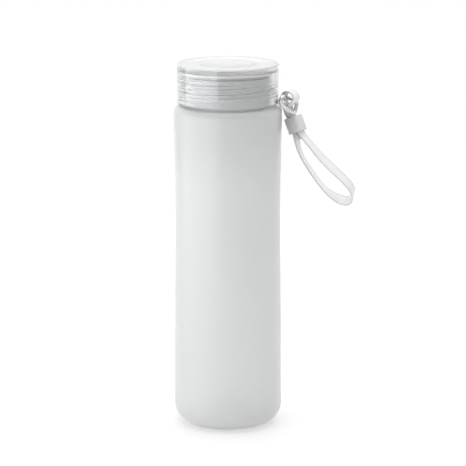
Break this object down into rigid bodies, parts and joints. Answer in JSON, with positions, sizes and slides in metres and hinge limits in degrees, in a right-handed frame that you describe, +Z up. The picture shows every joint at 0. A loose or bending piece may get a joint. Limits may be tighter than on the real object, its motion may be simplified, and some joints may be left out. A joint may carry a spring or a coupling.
{
  "type": "water bottle",
  "caption": "Round glass water bottle with a clear screw cap, a metal ring and a short ribbon hand strap.",
  "frame": {"origin": "middle of the base, on the surface the bottle stands on", "axes": "+Z up along the bottle's axis, +X towards the side where the strap hangs, -Y towards the viewer"},
  "size_m": [0.1113, 0.0666, 0.2254],
  "materials": {
    "frosted_glass": "frosted, translucent",
    "clear_cap": "clear moulded plastic, polished",
    "white_liner": "matte",
    "seal": "soft translucent silicone",
    "ring_metal": "polished",
    "clasp_metal": "satin, pale grey",
    "ribbon": "fine woven ribbon"
  },
  "bodies": {
    "bottle": {"glass_bottle": "frosted_glass"},
    "seal": {"cap_liner": "white_liner", "seal_gasket": "seal"},
    "cap": {"cap_shell": "clear_cap"},
    "ring": {"strap_ring": "ring_metal"},
    "strap": {"strap_ribbon": "ribbon", "strap_clasp": "clasp_metal"}
  },
  "joints": [
    {"name": "cap_lift", "type": "slide", "parent": "bottle", "child": "seal", "axis": [0, 0, 1], "range_m": [0, 0.0178]},
    {"name": "cap_turn", "type": "hinge", "parent": "seal", "child": "cap", "pos_m": [0, 0, 0.2116], "axis": [0, 0, 1], "range_deg": [0, 1180]},
    {"name": "ring_swing", "type": "hinge", "parent": "cap", "child": "ring", "pos_m": [0.0319, -0.00861, 0.203], "axis": [0, 0, 1], "range_deg": [-110, 0]},
    {"name": "strap_swing", "type": "hinge", "parent": "ring", "child": "strap", "pos_m": [0.03865, -0.00057, 0.20385], "axis": [0.6417, 0.7646, -0.0599], "range_deg": [-2, 4]}
  ],
  "couplings": [
    {"joint": "cap_lift", "follows": "cap_turn", "m_per_rad": 0.00085944}
  ]
}
